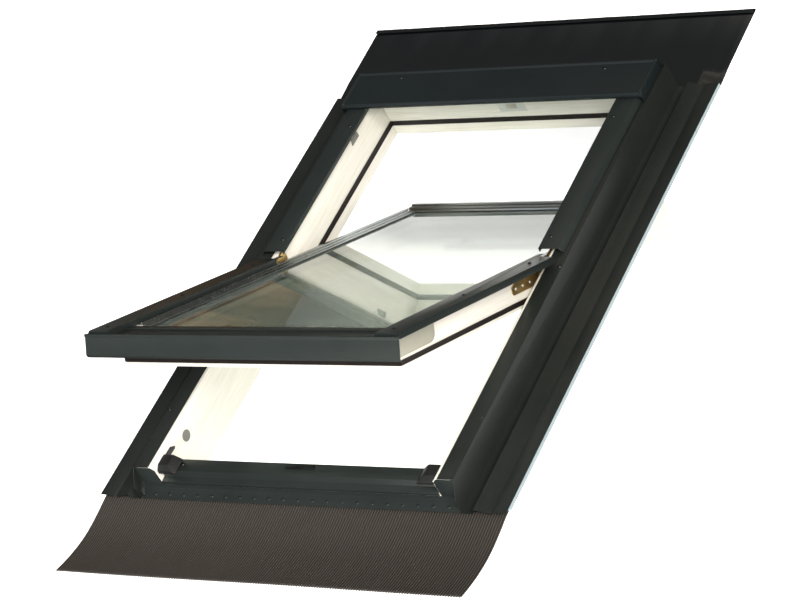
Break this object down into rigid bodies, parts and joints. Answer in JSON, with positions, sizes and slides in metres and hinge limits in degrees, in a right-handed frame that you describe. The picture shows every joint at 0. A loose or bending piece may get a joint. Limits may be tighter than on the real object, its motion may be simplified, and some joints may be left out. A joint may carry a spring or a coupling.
{
  "type": "roof skylight",
  "caption": "Centre-pivot roof window with flashing kit: white timber frame, anthracite covers, double-glazed sash standing open, pleated apron skirt.",
  "frame": {"origin": "middle of the window opening on the roof plane, at the centre of the four bracket holes, on the upper face of the bracket legs", "axes": "+X across the roof, +Y up the slope, +Z out of the roof, square to it"},
  "size_m": [1.01, 1.6644, 0.6639],
  "materials": {
    "white_timber": "pine, white lacquer, satin",
    "dark_cover": "folded aluminium, anthracite powder coat, satin",
    "dark_hood": "folded aluminium, anthracite powder coat, satin",
    "flashing_sheet": "folded aluminium, dark grey coil coat, satin",
    "head_sheet": "folded aluminium, dark coil coat, glossy",
    "pleated_sheet": "pleated aluminium sheet, brown-grey coat, matt",
    "brown_seal": "extruded rubber seal",
    "black_rubber": "moulded and extruded black rubber",
    "pale_foam": "closed-cell polyethylene foam",
    "grey_plastic": "moulded grey polyamide",
    "cream_plastic": "moulded cream ABS",
    "hinge_steel": "pressed steel, yellow zinc plate",
    "zinc_steel": "pressed steel, bright zinc plate",
    "screw_steel": "steel screws, dark coat",
    "glass": "clear float glass",
    "spacer_aluminium": "roll-formed aluminium",
    "plain_aluminium": "extruded aluminium, natural anodised"
  },
  "bodies": {
    "frame": {"frame_left_jamb": "white_timber", "frame_right_jamb": "white_timber", "frame_head": "white_timber", "frame_sill": "white_timber", "frame_seal": "brown_seal", "hood_cover": "dark_hood", "left_upper_cover": "dark_cover", "right_upper_cover": "dark_cover", "sill_cover": "dark_cover", "left_side_flashing": "flashing_sheet", "right_side_flashing": "flashing_sheet", "head_flashing": "head_sheet", "apron_flashing": "dark_cover", "apron_skirt": "pleated_sheet", "left_foam_strip": "pale_foam", "right_foam_strip": "pale_foam", "left_corner_block": "black_rubber", "right_corner_block": "black_rubber", "jamb_bushes": "grey_plastic", "jamb_stops": "grey_plastic", "sill_striker": "screw_steel", "head_striker": "zinc_steel", "left_frame_hinge": "hinge_steel", "right_frame_hinge": "hinge_steel", "cover_screws": "screw_steel", "left_lower_bracket": "zinc_steel", "right_lower_bracket": "zinc_steel", "left_upper_bracket": "zinc_steel", "right_upper_bracket": "zinc_steel", "bracket_screws": "zinc_steel"},
    "sash": {"sash_left_stile": "white_timber", "sash_right_stile": "white_timber", "sash_top_rail": "white_timber", "sash_bottom_rail": "white_timber", "outer_pane": "glass", "inner_pane": "glass", "pane_spacer": "spacer_aluminium", "inner_glazing_gasket": "black_rubber", "outer_glazing_gasket": "black_rubber", "left_bead": "dark_cover", "right_bead": "dark_cover", "top_bead": "plain_aluminium", "bottom_bead": "dark_cover", "left_sash_cladding": "dark_cover", "right_sash_cladding": "dark_cover", "bottom_cladding": "dark_cover", "left_corner_cap": "cream_plastic", "right_corner_cap": "cream_plastic", "sash_seal": "brown_seal", "left_sash_hinge": "hinge_steel", "right_sash_hinge": "hinge_steel", "sash_screws": "screw_steel", "bar_brackets": "zinc_steel"},
    "bar": {"control_bar": "plain_aluminium"},
    "latch": {"latch_bolt": "zinc_steel"}
  },
  "joints": [
    {"name": "sash_pivot", "type": "hinge", "parent": "frame", "child": "sash", "pos_m": [0, 0, 0.076], "axis": [-1, 0, 0], "range_deg": [-31, 109]},
    {"name": "control_bar_turn", "type": "hinge", "parent": "sash", "child": "bar", "pos_m": [0, 0.39903, -0.26759], "axis": [-1, 0, 0], "range_deg": [0, 20]},
    {"name": "latch_slide", "type": "slide", "parent": "sash", "child": "latch", "axis": [0, 0.8572, -0.515], "range_m": [0, 0.016]}
  ],
  "couplings": [
    {"joint": "latch_slide", "follows": "control_bar_turn", "m_per_rad": 0.0457}
  ]
}
